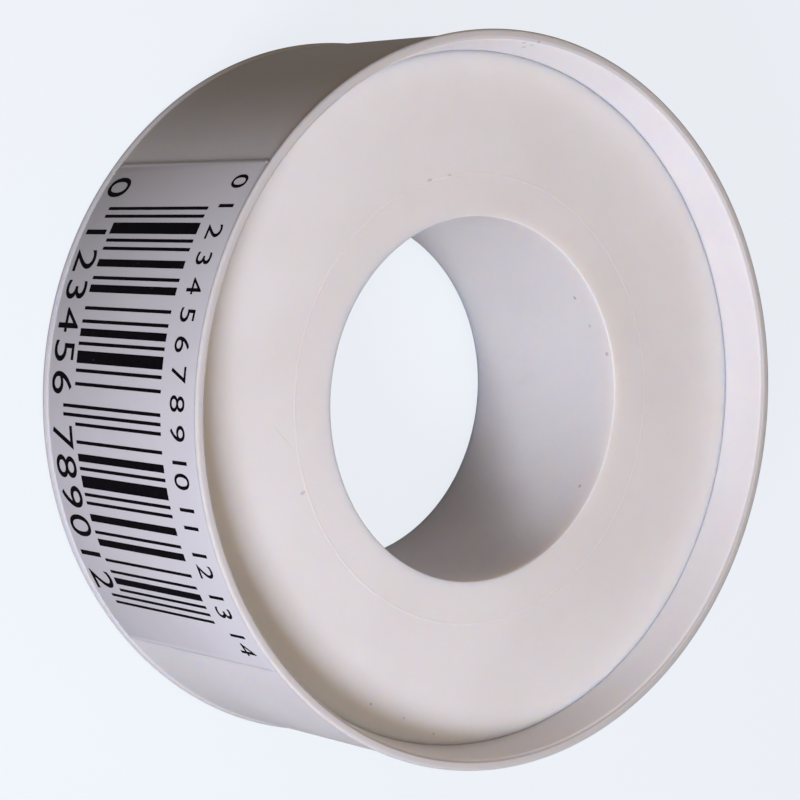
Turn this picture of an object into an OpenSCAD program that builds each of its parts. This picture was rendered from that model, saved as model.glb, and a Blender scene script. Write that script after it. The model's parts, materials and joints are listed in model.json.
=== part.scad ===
// Thread seal tape roll: a spool of tape that turns in, and pulls out of, a round plastic shell.
// The roll lies on its rear disc. +Z is the axis of the roll, towards its open front.
// The origin is the middle of the rear face, and the label faces -Y.

/* [Tape] */
// Width of the tape
tape_w = 12; // [6:0.5:25]
// Thickness of one layer of tape
tape_t = 0.075; // [0.05:0.005:0.2]
// Free room on each side of the tape, between the disc and the flange
side_gap = 0.5; // [0.2:0.1:1.5]
// Room between the full winding and the shell's wall
winding_room = 1.8; // [1:0.05:5]
// Length of the loose stretch of tape at the end
end_l = 60; // [30:1:110]

/* [Shell] */
// Diameter over the front and rear lips
lip_d = 50; // [44:0.5:70]
// Height of the lips above the wall
lip_step = 0.2; // [0.2:0.05:0.8]
// Width of the front lip along the axis
front_lip_w = 0.4; // [0.4:0.05:2.5]
// Width of the rear lip along the axis
rear_lip_w = 0.6; // [0.4:0.05:1.2]
// Thickness of the round wall
wall_t = 1.05; // [0.9:0.05:2]
// Thickness of the rear disc
disc_t = 1.5; // [1:0.1:3]
// Depth of the spool's face below the front lip
recess = 3; // [1.5:0.05:6]
// How much wider the mouth is at the lip than at the spool's face, on the radius
mouth_flare = 0.65; // [0.25:0.05:0.7]
// Chamfer inside the lip that leads the spool into the mouth
mouth_chamfer = 0.15; // [0.1:0.05:0.25]

/* [Spool] */
// Diameter of the bore
bore_d = 25; // [18:0.1:28]
// Thickness of the core tube
core_t = 1.4; // [0.8:0.05:2.5]
// Step from the core down to the spigot that passes through the rear disc
spigot_step = 0.4; // [0.2:0.05:0.6]
// How far the spigot's end stays inside the rear face
spigot_setback = 0.5; // [0.1:0.05:1]
// Thickness of the front flange
flange_t = 1.45; // [1.35:0.05:3]
// Straight part of the flange's edge, below its rounded front corner
flange_land = 0.75; // [0.3:0.05:1.3]
// Gap between the flange's edge and the shell's wall
flange_gap = 0.05; // [0.05:0.05:0.8]
// Radius of the rounded front edge of the bore
bore_round = 0.3; // [0.2:0.05:1.2]
// Distance of the fine mould line from the edge of the bore
mould_line_gap = 2.9; // [1.5:0.05:5]

/* [Label] */
// Length of the label round the wall
label_l = 35.8; // [15:0.1:60]
// Thickness of the label
label_t = 0.1; // [0.05:0.01:0.2]
// Radius of the label's corners
label_corner = 0.65; // [0.2:0.05:2]
// Distance from the front lip to the label
label_front_gap = 0.05; // [0.05:0.05:1.5]
// Distance from the rear lip to the label
label_rear_gap = 0.1; // [0.05:0.05:1.5]

/* [Hidden] */
$fn = 96;
// Straight pieces in each rounded corner, and in the loose stretch of tape
arc_steps = 6;
end_steps = 60;
// Overrun of a cut past the faces that it goes through
overrun = 1;
// Radial running clearance of the spigot in the disc, and axial clearance of the core on the disc
spigot_gap = 0.08;
seat_gap = 0.05;
// Clearance of the winding on the core, and of the loose stretch on the winding
winding_fit = 0.05;
end_gap = 0.1;
// Film of glue under the label, and the angle trimmed off its strip at each end
glue_t = 0.02;
trim_angle = 1;
// Fillet inside the shell, and broken edges of the mouldings
inner_fillet = 0.4;
edge_break = 0.15;
// Rounded edges and fillets, as shares of the lip, gap or land that holds them
rim_round_share = 0.45;
rim_fill_share = 0.8;
mouth_round_share = 0.2;
rear_round_share = 0.5;
core_fillet_share = 0.8;
flange_break_share = 0.15;
// Width and height of the fine mould line on the spool's face
mould_line_w = 0.2;
mould_line_h = 0.1;
// Share of the room round the winding that the tip of the loose stretch rises through
end_lift_share = 0.35;
// Direction of the tip of the loose stretch
end_tip_angle = 305;

// Heights along the axis, stacked from the rear face
winding_z = disc_t + side_gap;
flange_z = winding_z + tape_w + side_gap;
face_z = flange_z + flange_t;
roll_w = face_z + recess;
shoulder_z = disc_t + seat_gap;
front_lip_z = roll_w - front_lip_w;
label_z = rear_lip_w + label_rear_gap;
label_h = front_lip_z - label_front_gap - label_z;

// Radii, from the lips inwards and from the bore outwards
lip_r = lip_d / 2;
wall_r = lip_r - lip_step;
room_r = wall_r - wall_t;
mouth_r = room_r + mouth_flare;
flange_r = room_r - flange_gap;
flange_round = flange_t - flange_land;
bore_r = bore_d / 2;
core_r = bore_r + core_t;
spigot_r = core_r - spigot_step;
hole_r = spigot_r + spigot_gap;
mould_line_r = bore_r + mould_line_gap;
winding_r = room_r - winding_room;
label_r = wall_r + glue_t;
label_angle = label_l / label_r * 180 / PI;
strip_angle = label_angle + 2 * trim_angle;
rim_round = min((lip_r - mouth_r) * rim_round_share, (front_lip_w - edge_break) * rim_fill_share);
mouth_round = (lip_r - mouth_r) * mouth_round_share;
rear_round = rear_lip_w * rear_round_share;
core_fillet = side_gap * core_fillet_share;
flange_break = flange_land * flange_break_share;
end_r = winding_r + end_gap;
end_lift = (winding_room - end_gap - tape_t) * end_lift_share;
end_angle = end_l / end_r * 180 / PI;

echo(roll_width = roll_w, winding_diameter = 2 * winding_r);
echo(tape_length = PI * (winding_r * winding_r - core_r * core_r) / tape_t);

// Points of an arc about a centre, from one angle to another
function arc(centre, radius, from, to) = [
    for (i = [0:arc_steps])
        let (a = from + (to - from) * i / arc_steps)
        centre + radius * [cos(a), sin(a)]
];

// Radius of the loose stretch at a share of its length: it lies on the winding and lifts towards its tip
function end_radius(share) = end_r + end_lift * share * share;

function end_point(share, out) =
    let (a = end_tip_angle - end_angle * (1 - share))
    (end_radius(share) + out) * [cos(a), sin(a)];

// Half section of the shell: rear disc, rear lip, wall, front lip and flared mouth
module shell_section() {
    polygon(concat(
        [[hole_r, edge_break], [hole_r + edge_break, 0]],
        arc([lip_r - rear_round, rear_round], rear_round, -90, 0),
        [[wall_r, rear_lip_w]],
        [[wall_r, front_lip_z], [lip_r - edge_break, front_lip_z], [lip_r, front_lip_z + edge_break]],
        arc([lip_r - rim_round, roll_w - rim_round], rim_round, 0, 90),
        arc([mouth_r + mouth_round, roll_w - mouth_round], mouth_round, 90, 180),
        [[mouth_r - mouth_chamfer, roll_w - mouth_round - mouth_chamfer], [room_r, face_z]],
        arc([room_r - inner_fillet, disc_t + inner_fillet], inner_fillet, 0, -90),
        [[hole_r + edge_break, disc_t], [hole_r, disc_t - edge_break]]
    ));
}

module shell() {
    color("whitesmoke")
        rotate_extrude()
            shell_section();
}

// Rounded outline of the label, flat, with its lower edge on the X axis
module label_outline(w) {
    translate([-w / 2, label_corner])
        square([w, label_h - 2 * label_corner]);
    translate([-w / 2 + label_corner, 0])
        square([w - 2 * label_corner, label_h]);
    for (side = [-1, 1], z = [label_corner, label_h - label_corner])
        translate([side * (w / 2 - label_corner), z])
            circle(r = label_corner);
}

module label() {
    color("white")
        translate([0, 0, label_z])
            intersection() {
                rotate([0, 0, -90 - strip_angle / 2])
                    rotate_extrude(angle = strip_angle)
                        translate([label_r, -overrun])
                            square([label_t, label_h + 2 * overrun]);
                rotate([90, 0, 0])
                    linear_extrude(lip_r + overrun)
                        label_outline(2 * label_r * sin(label_angle / 2));
            }
}

// Half section of the spool: spigot, core, and flange with the fine raised mould line on its face
module spool_section() {
    polygon(concat(
        [[bore_r, spigot_setback], [spigot_r - edge_break, spigot_setback]],
        [[spigot_r, spigot_setback + edge_break], [spigot_r, shoulder_z], [core_r, shoulder_z]],
        arc([core_r + core_fillet, flange_z - core_fillet], core_fillet, 180, 90),
        [[flange_r - flange_break, flange_z], [flange_r, flange_z + flange_break]],
        arc([flange_r - flange_round, face_z - flange_round], flange_round, 0, 90),
        [[mould_line_r + mould_line_w / 2, face_z]],
        [[mould_line_r, face_z + mould_line_h]],
        [[mould_line_r - mould_line_w / 2, face_z]],
        arc([bore_r + bore_round, face_z - bore_round], bore_round, 90, 180)
    ));
}

module spool() {
    color("white")
        rotate_extrude()
            spool_section();
}

module tape_winding() {
    color("snow")
        translate([0, 0, winding_z])
            difference() {
                cylinder(r = winding_r, h = tape_w);
                translate([0, 0, -overrun])
                    cylinder(r = core_r + winding_fit, h = tape_w + 2 * overrun);
            }
}

module tape_end() {
    color("snow")
        translate([0, 0, winding_z])
            linear_extrude(tape_w)
                polygon(concat(
                    [for (i = [0:end_steps]) end_point(i / end_steps, tape_t)],
                    [for (i = [end_steps:-1:0]) end_point(i / end_steps, 0)]
                ));
}

shell();
label();
spool();
tape_winding();
tape_end();
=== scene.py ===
import json
import math
import random

import bmesh
import bpy
from mathutils import Matrix, Vector


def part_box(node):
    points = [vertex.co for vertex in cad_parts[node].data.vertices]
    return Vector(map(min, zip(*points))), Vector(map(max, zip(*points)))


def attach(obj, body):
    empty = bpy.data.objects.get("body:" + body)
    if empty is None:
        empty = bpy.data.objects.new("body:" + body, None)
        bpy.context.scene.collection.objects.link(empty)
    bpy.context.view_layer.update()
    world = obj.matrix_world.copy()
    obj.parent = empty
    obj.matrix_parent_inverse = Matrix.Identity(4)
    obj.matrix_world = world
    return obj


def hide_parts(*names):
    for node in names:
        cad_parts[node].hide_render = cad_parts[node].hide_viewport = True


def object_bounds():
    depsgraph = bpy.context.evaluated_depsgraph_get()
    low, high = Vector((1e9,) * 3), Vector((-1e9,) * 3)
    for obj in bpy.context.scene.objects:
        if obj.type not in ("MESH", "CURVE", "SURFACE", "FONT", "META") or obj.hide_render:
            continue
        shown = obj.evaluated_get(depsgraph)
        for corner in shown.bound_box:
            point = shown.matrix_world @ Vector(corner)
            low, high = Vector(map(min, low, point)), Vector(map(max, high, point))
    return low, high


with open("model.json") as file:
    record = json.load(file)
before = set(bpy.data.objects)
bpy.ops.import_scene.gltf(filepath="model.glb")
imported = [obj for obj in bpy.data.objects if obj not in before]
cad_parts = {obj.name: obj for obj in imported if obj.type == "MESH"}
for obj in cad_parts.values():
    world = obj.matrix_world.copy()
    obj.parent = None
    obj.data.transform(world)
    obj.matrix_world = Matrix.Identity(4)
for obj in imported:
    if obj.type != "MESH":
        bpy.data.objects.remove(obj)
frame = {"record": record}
cad_low, cad_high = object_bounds()

# Camera: a long lens that looks down into the open front of the roll, from the label's side.
# It is rolled over, so that the axis of the roll lies across the picture and the label reads downwards.

mm = 0.001
camera_place = Vector((-13.91, -115.05, 156.77)) * mm
camera_azimuth = math.radians(7.14)
camera_elevation = math.radians(52.23)
camera_roll = math.radians(95.08)
camera_lens = 120.05
camera_sensor = 36

camera = bpy.data.objects.new("camera", bpy.data.cameras.new("camera"))
camera.data.sensor_width = camera_sensor
camera.data.lens = camera_lens
camera.data.clip_start = 10 * mm
camera.data.clip_end = 5
camera.matrix_world = (
    Matrix.Translation(camera_place)
    @ Matrix.Rotation(-camera_azimuth, 4, "Z")
    @ Matrix.Rotation(math.pi / 2 - camera_elevation, 4, "X")
    @ Matrix.Rotation(camera_roll, 4, "Z")
)
bpy.context.collection.objects.link(camera)
bpy.context.scene.camera = camera
bpy.context.scene.view_settings.view_transform = "Standard"


# Floor: a plain pale table top that the roll lies on, with its rear disc down.
# The eye sees it nearly evenly pale, with a faint shadow of the roll.


class Wire:
    """A socket of a shader tree. Arithmetic on it adds Math nodes, and node() adds any other node."""

    def __init__(self, socket):
        self.socket = socket
        self.tree = socket.id_data

    def node(self, kind, settings=None, sockets=None, out=0):
        made = self.tree.nodes.new("ShaderNode" + kind)
        for name, value in (settings or {}).items():
            setattr(made, name, value)
        for key, value in (sockets or {}).items():
            if isinstance(value, Wire):
                self.tree.links.new(value.socket, made.inputs[key])
            else:
                made.inputs[key].default_value = value
        return Wire(made.outputs[out])

    def math(self, operation, first, second):
        return self.node("Math", {"operation": operation}, {0: first, 1: second})

    def __add__(self, other):
        return self.math("ADD", self, other)

    def __radd__(self, other):
        return self.math("ADD", other, self)

    def __sub__(self, other):
        return self.math("SUBTRACT", self, other)

    def __rsub__(self, other):
        return self.math("SUBTRACT", other, self)

    def __mul__(self, other):
        return self.math("MULTIPLY", self, other)

    def __rmul__(self, other):
        return self.math("MULTIPLY", other, self)

    def __lt__(self, other):
        return self.math("LESS_THAN", self, other)

    def __gt__(self, other):
        return self.math("GREATER_THAN", self, other)

    def ramp(self, low, high):
        """0 below low, 1 above high and smooth between."""
        return self.node(
            "MapRange",
            {"interpolation_type": "SMOOTHSTEP"},
            {"Value": self, "From Min": low, "From Max": high},
        )

    def between(self, low, high):
        """The range 0 to 1 stretched to low to high."""
        return self * (high - low) + low

    def colour(self, first, second):
        """A mix of two colours, with this as its factor."""
        return self.node("Mix", {"data_type": "RGBA"}, {0: self, 6: first, 7: second}, out=2)

    def noise(self, scale, detail=2, rough=0.5):
        sockets = {"Vector": self, "Scale": scale, "Detail": detail, "Roughness": rough}
        return self.node("TexNoise", None, sockets)

    def length(self):
        return self.node("VectorMath", {"operation": "LENGTH"}, {0: self}, out="Value")

    def cells(self, scale, out):
        return self.node("TexVoronoi", None, {"Vector": self, "Scale": scale}, out=out)

    def stretch(self, x, y, z, turn=(0, 0, 0)):
        return self.node("Mapping", None, {"Vector": self, "Rotation": turn, "Scale": (x, y, z)})

    def spot(self, middle, size, turn):
        """1 at a place on the piece and 0 past the given half sizes, with a soft edge."""
        soft_from = 0.35
        local = self.node(
            "Mapping",
            {"vector_type": "TEXTURE"},
            {"Vector": self, "Location": middle, "Rotation": turn, "Scale": size},
        )
        return local.length().ramp(1, soft_from)

    def feed(self, target):
        self.tree.links.new(self.socket, target)


def new_finish(name):
    """A material with a Principled shader, and a wire that holds the piece's Object coordinates."""
    material = bpy.data.materials.new(name)
    material.use_nodes = True
    tree = material.node_tree
    place = tree.nodes.new("ShaderNodeTexCoord").outputs["Object"]
    return material, tree.nodes["Principled BSDF"], Wire(place)


sharp_angle = math.radians(32)


def link_piece(name, bm, finish):
    """A finished mesh as an object at the origin, smooth but for its sharp edges."""
    mesh = bpy.data.meshes.new(name)
    bm.to_mesh(mesh)
    bm.free()
    mesh.shade_smooth()
    mesh.set_sharp_from_angle(angle=sharp_angle)
    mesh.materials.append(finish)
    piece = bpy.data.objects.new(name, mesh)
    bpy.context.collection.objects.link(piece)
    return piece


floor_half = 600 * mm
floor_seen = (0.885, 0.928, 0.985, 1)
floor_lit = (0.80, 0.81, 0.83, 1)
floor_mottle = (0.82, 0.83, 0.85, 1)
floor_bounce = (0.08, 0.07, 0.06, 1)
floor_even_share = 0.88
floor_gloss_share = 0.3

floor_finish, floor_shader, floor_place = new_finish("pale_floor")
seen_by_eye = floor_place.node("LightPath", out="Is Camera Ray")
floor_body = floor_place.noise(scale=9, detail=3).colour(floor_lit, floor_mottle)
seen_by_eye.colour(floor_bounce, floor_body).feed(floor_shader.inputs["Base Color"])
floor_shader.inputs["Roughness"].default_value = 0.8
floor_shader.inputs["Specular IOR Level"].default_value = 0.1
seen_in_gloss = floor_place.node("LightPath", out="Is Glossy Ray")
seen_through = floor_place.node("LightPath", out="Is Transmission Ray")
even_light = floor_place.node("Emission", None, {"Color": floor_seen, "Strength": 1})
floor_mix = floor_place.node(
    "MixShader",
    None,
    {
        0: seen_by_eye * floor_even_share + (seen_in_gloss + seen_through) * floor_gloss_share,
        1: Wire(floor_shader.outputs[0]),
        2: even_light,
    },
)
floor_mix.feed(floor_finish.node_tree.nodes["Material Output"].inputs["Surface"])

floor_mesh = bmesh.new()
bmesh.ops.create_grid(floor_mesh, x_segments=1, y_segments=1, size=floor_half)
floor = link_piece("floor", floor_mesh, floor_finish)


# Light: a soft cool lamp before the label's right half, a wide weak one overhead, and a dim warm sky.
# The side of the roll away from the lamps, at the top of the picture, stays dark.


def soft_lamp(name, azimuth, elevation, distance, width, power, colour):
    """A square area lamp that looks at the middle of the roll. The azimuth is the angle from +X."""
    lamp = bpy.data.lights.new(name, "AREA")
    lamp.size = width
    lamp.energy = power
    lamp.color = colour
    holder = bpy.data.objects.new(name, lamp)
    a, e = math.radians(azimuth), math.radians(elevation)
    aside = Vector((math.cos(a) * math.cos(e), math.sin(a) * math.cos(e), math.sin(e)))
    aim = Vector((0, 0, cad_high.z / 2))
    facing = aside.to_track_quat("Z", "Y").to_matrix().to_4x4()
    holder.matrix_world = Matrix.Translation(aim + aside * distance) @ facing
    bpy.context.collection.objects.link(holder)


soft_lamp(
    "key_lamp",
    azimuth=296,
    elevation=37,
    distance=0.21,
    width=0.063,
    power=0.404,
    colour=(0.87, 0.88, 1.0),
)
soft_lamp(
    "top_lamp",
    azimuth=190,
    elevation=80,
    distance=0.35,
    width=0.25,
    power=0.25,
    colour=(1.0, 0.86, 0.72),
)

sky = bpy.data.worlds.new("pale_sky")
sky.use_nodes = True
sky_light = sky.node_tree.nodes["Background"]
sky_light.inputs["Color"].default_value = (1.0, 0.82, 0.66, 1)
sky_light.inputs["Strength"].default_value = 0.16
bpy.context.scene.world = sky


# Shell: one thin moulding in white plastic, a round wall with a narrow lip at its front and at its rear,
# closed behind by a flat disc. The hole in the disc guides the spool, which drops in from the front.

shell_low, shell_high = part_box("shell")
lip_r = shell_high.x
roll_w = shell_high.z
lip_step = 0.2 * mm
front_lip_w = 0.4 * mm
front_lip_break = 0.15 * mm
front_lip_fillet = 0.04 * mm
front_lip_round = 0.03 * mm
rear_lip_w = 0.6 * mm
rear_lip_land = 0.34 * mm
rear_lip_round = 0.28 * mm
rear_lip_fillet = 0.12 * mm
wall_t = 1.05 * mm
disc_t = 1.5 * mm
mouth_flare = 0.65 * mm
mouth_chamfer = 0.15 * mm
rim_round = 0.2 * mm
mouth_round = 0.12 * mm
fine_round = 0.05 * mm
edge_break = 0.15 * mm
inner_fillet = 0.4 * mm
recess = 3 * mm
core_t = 1.4 * mm
spigot_step = 0.4 * mm
spigot_gap = 0.08 * mm
bore_mount = next(m for m in frame["record"]["mounts"] if m["name"] == "bore")
bore_r = bore_mount["dims"]["r_mm"] * mm
core_r = bore_r + core_t
spigot_r = core_r - spigot_step
hole_r = spigot_r + spigot_gap
face_z = roll_w - recess
wall_r = lip_r - lip_step
room_r = wall_r - wall_t
mouth_r = room_r + mouth_flare
front_lip_z = roll_w - front_lip_w

turn_steps = 288
round_steps = 7
weld_gap = 0.0005 * mm


def turned_piece(corners):
    """A half section spun about the axis. Each corner is a radius, a height and its rounding."""
    bm = bmesh.new()
    ring = [bm.verts.new((r, 0, z)) for r, z, rounding in corners]
    bm.faces.new(ring)
    for vert, (r, z, rounding) in zip(ring, corners):
        if rounding:
            bmesh.ops.bevel(
                bm,
                geom=[vert],
                offset=rounding,
                offset_type="OFFSET",
                segments=round_steps,
                profile=0.5,
                affect="VERTICES",
                material=-1,
            )
    bmesh.ops.delete(bm, geom=bm.faces[:], context="FACES_ONLY")
    bmesh.ops.spin(
        bm,
        geom=bm.verts[:] + bm.edges[:],
        cent=(0, 0, 0),
        axis=(0, 0, 1),
        dvec=(0, 0, 0),
        angle=2 * math.pi,
        steps=turn_steps,
        use_merge=True,
        use_duplicate=False,
    )
    bmesh.ops.remove_doubles(bm, verts=bm.verts[:], dist=weld_gap)
    bmesh.ops.recalc_face_normals(bm, faces=bm.faces[:])
    return bm


def true_flats(piece):
    """Weighs the shading by face size, so that flat faces stay flat up to their rounded edges."""
    weigh = piece.modifiers.new("true_flats", "WEIGHTED_NORMAL")
    weigh.weight = 50
    weigh.keep_sharp = True


speck_scale = 420
speck_r = 0.09
speck_core_r = 0.05
speck_rarity = 0.955
scuff_grey = (0.62, 0.60, 0.58, 1)
# The grey of the painted shade on the lips.
lip_shade_grey = (0.50, 0.49, 0.495, 1)
stain_brown = (0.22, 0.17, 0.15, 1)
speck_brown = (0.20, 0.16, 0.13, 1)
rim_fade = 0.1 * mm


def moulded_finish(name, pale, deep, depth, seed_turn, marks, rim=None):
    """White moulded plastic: faint clouding, fine orange peel, light scuffs and a few specks of dirt.

    Each mark is a stain or scratch: its middle and half sizes in millimetres, its turn and its strength.
    The lips are painted greyer as painted shade, and made rougher. They lie past the rim's radius, and
    above its first height or below its second."""
    finish, shader, place = new_finish(name)
    turned = place.stretch(1, 1, 1, seed_turn)
    cloud = turned.noise(scale=95, detail=3, rough=0.55)
    peel = turned.noise(scale=1900)
    hair = turned.stretch(90, 1500, 90, (0.4, 0.2, 0.9)).noise(scale=1, detail=3, rough=0.6)
    scuff = hair.ramp(0.68, 0.76) * turned.noise(scale=75).ramp(0.55, 0.7)
    dot = turned.cells(speck_scale, "Distance").ramp(speck_r, speck_core_r)
    cell = turned.cells(speck_scale, "Color")
    speck = dot * (cell.node("SeparateColor", None, {"Color": cell}) > speck_rarity)
    body = cloud.ramp(0.3, 0.7).colour(deep, pale)
    soiled = (scuff * 0.18).colour(body, scuff_grey)
    rough = cloud.between(0.48, 0.62) + scuff * 0.1
    if rim:
        rim_radius, rim_front, rim_rear = rim
        away = place.stretch(1, 1, 0).length()
        up = place.node("SeparateXYZ", None, {"Vector": place}, out="Z")
        ends = up.ramp(rim_front - rim_fade, rim_front) + up.ramp(rim_rear, rim_rear - 2 * rim_fade)
        # Painted shade: the lips past the rim's radius are painted greyer, and are also made rougher.
        lip_shade_mask = away.ramp(rim_radius - rim_fade, rim_radius) * ends
        soiled = (lip_shade_mask * cloud.between(0.55, 0.75)).colour(soiled, lip_shade_grey)
        rough = rough + lip_shade_mask * 0.2
    for middle, size, turn, strength in marks:
        stain = place.spot(Vector(middle) * mm, Vector(size) * mm, turn)
        soiled = (stain * strength).colour(soiled, stain_brown)
    (speck * 0.4).colour(soiled, speck_brown).feed(shader.inputs["Base Color"])
    rough.feed(shader.inputs["Roughness"])
    height = peel * 0.5 + cloud * 0.6 - scuff * 0.5
    bump = place.node("Bump", None, {"Strength": 0.12, "Distance": 0.12 * mm, "Height": height})
    bump.feed(shader.inputs["Normal"])
    shader.inputs["IOR"].default_value = 1.49
    shader.inputs["Specular IOR Level"].default_value = 0.4
    shader.inputs["Subsurface Weight"].default_value = 1
    shader.inputs["Subsurface Radius"].default_value = (1, 0.74, 0.5)
    shader.inputs["Subsurface Scale"].default_value = depth
    return finish


shell_finish = moulded_finish(
    "shell_plastic",
    pale=(0.82, 0.81, 0.825, 1),
    deep=(0.785, 0.77, 0.78, 1),
    depth=0.55 * mm,
    seed_turn=(0.3, 0.0, 0.8),
    marks=[
        ((-23.91, 2.76, 17.70), (0.2, 0.22, 0.25), (0, 0, 0.5), 0.35),
        ((-24.02, 2.90, 18.36), (0.2, 0.18, 0.2), (0, 0, 0.2), 0.3),
        ((-24.20, 3.12, 18.84), (0.2, 0.16, 0.2), (0, 0, 0.8), 0.35),
    ],
    rim=(mouth_r, front_lip_z, rear_lip_w),
)
shell_mesh = turned_piece([
    (hole_r, 0, edge_break),
    (lip_r, 0, rear_lip_round),
    (lip_r, rear_lip_land, fine_round),
    (wall_r, rear_lip_w, rear_lip_fillet),
    (wall_r, front_lip_z, front_lip_fillet),
    (lip_r - front_lip_break, front_lip_z, 0),
    (lip_r, front_lip_z + front_lip_break, front_lip_round),
    (lip_r, roll_w, rim_round),
    (mouth_r, roll_w, mouth_round),
    (mouth_r, roll_w - mouth_round, 0),
    (mouth_r - mouth_chamfer, roll_w - mouth_round - mouth_chamfer, fine_round),
    (room_r, face_z, 0),
    (room_r, disc_t, inner_fillet),
    (hole_r, disc_t, edge_break),
])
shell = link_piece("shell_moulding", shell_mesh, shell_finish)
true_flats(shell)
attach(shell, "shell")
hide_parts("shell")


# Label: a strip of half-gloss white paper with rounded corners, stamped out of a sheet.
# It is glued round the wall between the lips, and its cut edge is pressed down a little.

label_low, label_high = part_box("label")
label_t = 0.1 * mm
label_r = -label_low.y - label_t
label_z = label_low.z
label_h = label_high.z - label_low.z
label_l = 2 * label_r * math.asin(label_high.x / (label_r + label_t))
label_corner = 0.65 * mm
label_edge_w = 0.3 * mm
label_edge_drop = 0.09 * mm
corner_steps = 8
wrap_step = 0.8 * mm
cut_gap = 0.0001 * mm
paper_pale = (0.71, 0.70, 0.73, 1)
paper_deep = (0.68, 0.665, 0.70, 1)
fibre_grey = (0.65, 0.64, 0.66, 1)


def wrap_on_wall(bm, radius, thickness, edge_drop=0):
    """Bends a flat drawing, X along the label and Y up, round the wall as a thin sheet.

    The edge of the sheet's outside may lie lower than its middle."""
    cuts = int(max(abs(v.co.x) for v in bm.verts) / wrap_step)
    for i in range(-cuts, cuts + 1):
        bmesh.ops.bisect_plane(
            bm,
            geom=bm.verts[:] + bm.edges[:] + bm.faces[:],
            dist=cut_gap,
            plane_co=(i * wrap_step, 0, 0),
            plane_no=(1, 0, 0),
        )
    raised = bmesh.ops.extrude_face_region(bm, geom=bm.faces[:], use_keep_orig=True)
    tops = [v for v in raised["geom"] if isinstance(v, bmesh.types.BMVert)]
    bmesh.ops.translate(bm, verts=tops, vec=(0, 0, thickness))
    rim = [v for v in tops if any(e.other_vert(v).co.z == 0 for e in v.link_edges)]
    bmesh.ops.translate(bm, verts=rim, vec=(0, 0, -edge_drop))
    for vert in bm.verts:
        angle = vert.co.x / radius
        out = radius + vert.co.z
        vert.co = (out * math.sin(angle), -out * math.cos(angle), vert.co.y)
    bmesh.ops.recalc_face_normals(bm, faces=bm.faces[:])
    return bm


def flat_bar(bm, left, right, low, high):
    """A flat rectangle of print on the label's drawing plane."""
    place = Matrix.Translation(((left + right) / 2, (low + high) / 2, 0))
    size = Matrix.Diagonal(((right - left) / 2, (high - low) / 2, 1, 1))
    return bmesh.ops.create_grid(bm, x_segments=1, y_segments=1, size=1, matrix=place @ size)["verts"]


paper_finish, paper_shader, paper_place = new_finish("label_paper")
paper_cloud = paper_place.noise(scale=160, detail=3, rough=0.6)
paper_fibre = paper_place.stretch(900, 900, 3000).noise(scale=1, detail=3, rough=0.6)
paper_body = paper_cloud.ramp(0.3, 0.7).colour(paper_deep, paper_pale)
paper_flecked = (paper_fibre.ramp(0.55, 0.8) * 0.25).colour(paper_body, fibre_grey)
paper_flecked.feed(paper_shader.inputs["Base Color"])
paper_cloud.between(0.34, 0.48).feed(paper_shader.inputs["Roughness"])
paper_bump = paper_place.node(
    "Bump", None, {"Strength": 0.1, "Distance": 0.05 * mm, "Height": paper_fibre + paper_cloud}
)
paper_bump.feed(paper_shader.inputs["Normal"])

label_mesh = bmesh.new()
label_corners = flat_bar(label_mesh, -label_l / 2, label_l / 2, label_z, label_z + label_h)
bmesh.ops.bevel(
    label_mesh,
    geom=label_corners,
    offset=label_corner,
    offset_type="OFFSET",
    segments=corner_steps,
    profile=0.5,
    affect="VERTICES",
    material=-1,
)
bmesh.ops.inset_region(
    label_mesh,
    faces=label_mesh.faces[:],
    thickness=label_edge_w,
    use_boundary=True,
    use_even_offset=True,
)
label_sheet = wrap_on_wall(label_mesh, label_r, label_t, label_edge_drop)
label = link_piece("label_sheet", label_sheet, paper_finish)
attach(label, "shell")
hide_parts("label")


# Print: a thin film of black ink on the label, with pale pinholes where it missed the paper.
# One pass of the press prints plain bars, counting digits below them and a row of counting numbers above.

ink_t = 0.012 * mm
ink_sink = 0.004 * mm
ink_r = label_r + label_t - ink_sink
ink_black = (0.003, 0.0025, 0.0035, 1)
ink_worn = (0.006, 0.005, 0.007, 1)
pinhole_grey = (0.3, 0.29, 0.3, 1)

ink_finish, ink_shader, ink_place = new_finish("label_ink")
ink_cloud = ink_place.noise(scale=2600, detail=3, rough=0.6)
ink_body = ink_cloud.ramp(0.3, 0.7).colour(ink_black, ink_worn)
ink_pricked = (ink_cloud.ramp(0.70, 0.78) * 0.3).colour(ink_body, pinhole_grey)
ink_pricked.feed(ink_shader.inputs["Base Color"])
ink_cloud.between(0.5, 0.65).feed(ink_shader.inputs["Roughness"])
ink_shader.inputs["Specular IOR Level"].default_value = 0.02

# Bars stand on a grid of fine modules: guards at both ends and in the middle, and a field on each side
module_w = 0.298 * mm
bar_trim = 0.035 * mm
bar_modules = (1, 1, 2, 1, 3, 1, 1, 2, 1, 2)
space_modules = (1, 2, 1, 1, 1, 3, 1, 2, 2)
side_digits = 6
digit_modules = 7
side_modules = side_digits * digit_modules
guard_modules = 3
centre_modules = 5
centre_start = guard_modules + side_modules
right_start = centre_start + centre_modules
symbol_modules = right_start + side_modules + guard_modules
symbol_left = -symbol_modules * module_w / 2
bars_top = 14.75 * mm
bars_low = 4.25 * mm
guards_low = 2.75 * mm


def print_piece(name, drawing):
    """A flat drawing as a film of ink on the label."""
    piece = link_piece(name, wrap_on_wall(drawing, ink_r, ink_t), ink_finish)
    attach(piece, "shell")


def flat_module_bar(bm, start, width, low):
    """A bar that starts at a module of the symbol and is some modules wide."""
    left = start * module_w + symbol_left
    flat_bar(bm, left + bar_trim, left + width * module_w - bar_trim, low, bars_top)


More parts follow.
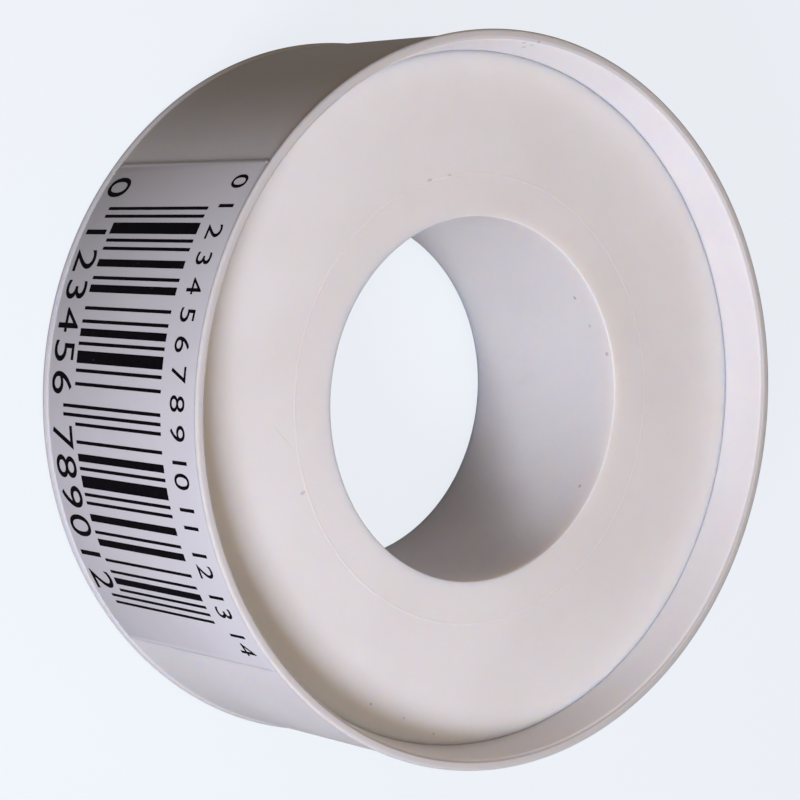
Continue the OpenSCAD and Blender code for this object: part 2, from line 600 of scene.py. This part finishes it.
bars = bmesh.new()
for start in (0, centre_start + 1, right_start + side_modules):
    for bar in (start, start + 2):
        flat_module_bar(bars, bar, 1, guards_low)
for start in (guard_modules + 1, right_start):
    last = start + side_modules - 1
    bar = start
    count = 0
    width = bar_modules[start % len(bar_modules)]
    while bar + width <= last:
        flat_module_bar(bars, bar, width, bars_low)
        bar += width + space_modules[(count * 2 + start) % len(space_modules)]
        count += 1
        width = bar_modules[(count + start) % len(bar_modules)]
print_piece("label_bars", bars)

digit_h = 2.65 * mm
digit_low = 1.3 * mm
digit_share = 0.73
first_digit_modules = 5.25


def flat_digits(bm, text, middle, low, height):
    """Adds plain digits to the label's drawing plane, centred on a place along the label."""
    curve = bpy.data.curves.new("digits", "FONT")
    curve.body = text
    curve.align_x = "CENTER"
    letters = bpy.data.objects.new("digits", curve)
    bpy.context.collection.objects.link(letters)
    bpy.context.view_layer.update()
    drawn = letters.evaluated_get(bpy.context.evaluated_depsgraph_get())
    mesh = bpy.data.meshes.new_from_object(drawn)
    mesh.transform(Matrix.Translation((middle, low, 0)) @ Matrix.Scale(height / digit_share, 4))
    bm.from_mesh(mesh)
    bpy.data.objects.remove(letters)
    bpy.data.curves.remove(curve)
    bpy.data.meshes.remove(mesh)


digits = bmesh.new()
for i, digit in enumerate("0123456789012"):
    if i == 0:
        middle = -first_digit_modules
    elif i <= side_digits:
        middle = guard_modules + digit_modules * (i - 0.5)
    else:
        middle = right_start + digit_modules * (i - side_digits - 0.5)
    flat_digits(digits, digit, symbol_left + middle * module_w, digit_low, digit_h)
print_piece("label_digits", digits)

row_h = 1.75 * mm
row_low = 15.85 * mm
row_count = 15
row = bmesh.new()
flat_digits(row, " ".join(str(i) for i in range(row_count)), 0, row_low, row_h)
print_piece("label_numbers", row)


# Spool: one white moulding that holds the tape, a core tube with a flat front flange.
# A fine raised mould line runs round the bore, and the spigot at the rear turns in the shell's disc.

spool_low, spool_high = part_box("spool")
seat_gap = 0.05 * mm
flange_t = 1.45 * mm
flange_swell = 0.045 * mm
flange_r = spool_high.x + flange_swell
spigot_z = spool_low.z
shoulder_z = disc_t + seat_gap
flange_z = face_z - flange_t
core_round = 0.1 * mm
core_fillet = 0.4 * mm
bore_round = 0.1 * mm
mould_line_gap = 2.9 * mm
mould_line_r = bore_r + mould_line_gap
mould_line_w = 0.24 * mm
mould_line_share = 0.4
mould_line_h = (spool_high.z - face_z) * mould_line_share
mould_line_round = 0.06 * mm

# The flange's edge falls away softly: shares of its width and height, and the rounding of each corner
flange_round_w = 1.4 * mm
flange_round_h = 0.25 * mm
flange_edge = (
    (0, 1, 0.02 * mm),
    (0.2, 0.45, 0.15 * mm),
    (0.6, 0.08, 0.3 * mm),
    (1, 0, 0.1 * mm),
)

spool_finish = moulded_finish(
    "spool_plastic",
    pale=(0.835, 0.815, 0.82, 1),
    deep=(0.80, 0.775, 0.775, 1),
    depth=1.5 * mm,
    seed_turn=(0.0, 0.5, 0.2),
    marks=[
        ((-6.57, 10.64, 13.83), (0.2, 0.2, 0.2), (0, 0, 0), 0.5),
        ((-4.55, 11.64, 14.29), (0.16, 0.16, 0.16), (0, 0, 0), 0.4),
        ((-2.57, 12.23, 15.43), (0.2, 0.2, 0.2), (0, 0, 0), 0.45),
        ((6.83, 10.47, 14.46), (0.18, 0.18, 0.18), (0, 0, 0), 0.5),
        ((5.28, -14.84, 15.95), (0.16, 0.3, 0.2), (0, 0, 0.4), 0.3),
        ((1.6, -16.3, 15.95), (1.6, 0.05, 0.2), (0, 0, 0.75), 0.12),
        ((19.85, -9.49, 15.95), (0.13, 0.13, 0.2), (0, 0, 0), 0.45),
        ((21.15, -6.73, 15.95), (0.12, 0.12, 0.2), (0, 0, 0), 0.35),
        ((22.58, -4.16, 15.94), (0.12, 0.12, 0.2), (0, 0, 0), 0.4),
        ((-14.98, -4.08, 15.95), (0.14, 0.3, 0.3), (0, 0, 0.3), 0.3),
        ((-15.3, -2.4, 15.95), (0.12, 0.22, 0.3), (0, 0, 0.1), 0.25),
    ],
)
spool_mesh = turned_piece([
    (bore_r, spigot_z, bore_round),
    (spigot_r, spigot_z, edge_break),
    (spigot_r, shoulder_z, 0),
    (core_r, shoulder_z, core_round),
    (core_r, flange_z, core_fillet),
    (flange_r, flange_z, edge_break),
    *((flange_r - flange_round_w * w, face_z - flange_round_h * h, r) for w, h, r in flange_edge),
    (mould_line_r + mould_line_w / 2, face_z, 0),
    (mould_line_r, face_z + mould_line_h, mould_line_round),
    (mould_line_r - mould_line_w / 2, face_z, 0),
    (bore_r, face_z, bore_round),
])
spool = link_piece("spool_moulding", spool_mesh, spool_finish)
true_flats(spool)
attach(spool, "spool")
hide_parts("spool")


# Tape winding: soft white film wound on the core, layer on layer, with edges that never quite line up.
# Its sides show the layers as fine rings, and its outside is smooth with faint streaks along the tape.

winding_low, winding_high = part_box("tape_winding")
winding_r = winding_high.x
winding_fit = 0.05 * mm
winding_core_r = core_r + winding_fit
layer_step = 0.25 * mm
layer_shift = 0.05 * mm
layer_fill = 0.85
tape_pale = (0.88, 0.88, 0.875, 1)
tape_deep = (0.83, 0.83, 0.82, 1)

tape_finish, tape_shader, tape_place = new_finish("tape_film")
tape_cloud = tape_place.noise(scale=120, detail=3, rough=0.6)
tape_streak = tape_place.stretch(60, 60, 2600).noise(scale=1, detail=3, rough=0.6)
tape_cloud.ramp(0.3, 0.7).colour(tape_deep, tape_pale).feed(tape_shader.inputs["Base Color"])
tape_streak.between(0.5, 0.68).feed(tape_shader.inputs["Roughness"])
tape_bump = tape_place.node(
    "Bump", None, {"Strength": 0.25, "Distance": 0.05 * mm, "Height": tape_streak}
)
tape_bump.feed(tape_shader.inputs["Normal"])
tape_shader.inputs["Subsurface Weight"].default_value = 0.4
tape_shader.inputs["Subsurface Radius"].default_value = (1, 0.95, 0.9)
tape_shader.inputs["Subsurface Scale"].default_value = 1 * mm

draw = random.Random(12)
layers = int((winding_r - winding_core_r) / layer_step)
layer_w = (winding_r - winding_core_r) / layers
under = []
over = []
for i in range(layers):
    inner = winding_core_r + i * layer_w
    outer = inner + layer_w * layer_fill
    low_z = winding_low.z + draw.uniform(0, layer_shift)
    high_z = winding_high.z - draw.uniform(0, layer_shift)
    under += [(inner, low_z, 0), (outer, low_z, 0)]
    over += [(inner, high_z, 0), (outer, high_z, 0)]
outside = [(winding_r, winding_low.z + layer_shift, 0), (winding_r, winding_high.z - layer_shift, 0)]
winding = link_piece("tape_layers", turned_piece(under + outside + over[::-1]), tape_finish)
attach(winding, "spool")
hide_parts("tape_winding")


# Tape end: the last, loose stretch of the film. It clings to the winding, then lifts towards its cut tip.
# It comes out of the shell with the spool, and is held still while the spool turns.

tape_t = 0.075 * mm
tape_w = winding_high.z - winding_low.z - 2 * layer_shift
end_l = 60 * mm
end_gap = 0.1 * mm
end_r = winding_r + end_gap
end_lift_share = 0.35
end_lift = (room_r - winding_r - end_gap - tape_t) * end_lift_share
end_tip = math.radians(305)
end_skew = 0.6 * mm
plain_lift = 0.75
ripple_lift = 0.2
ripple_pitch = 31
ripple_bend = 2.2
ripple_bend_pitch = 5
end_cells = 120
end_rows = 16

end_mesh = bmesh.new()
bmesh.ops.create_grid(end_mesh, x_segments=end_cells, y_segments=end_rows, size=0.5)
for vert in end_mesh.verts:
    along = vert.co.x + 0.5
    up = vert.co.y + 0.5
    ripple = 0.5 + 0.5 * math.sin(ripple_pitch * along + ripple_bend * math.sin(ripple_bend_pitch * up))
    out = end_r + end_lift * along * along * (plain_lift + ripple_lift * ripple * along)
    angle = end_tip - end_l / end_r * (1 - along)
    skew = end_skew * (up - 0.5) * along / end_r
    height = winding_low.z + layer_shift + up * tape_w
    vert.co = (out * math.cos(angle + skew), out * math.sin(angle + skew), height)
bmesh.ops.recalc_face_normals(end_mesh, faces=end_mesh.faces[:])
bmesh.ops.solidify(end_mesh, geom=end_mesh.faces[:], thickness=-tape_t)
tape_end = link_piece("tape_end_film", end_mesh, tape_finish)
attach(tape_end, "tape_end")
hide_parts("tape_end")
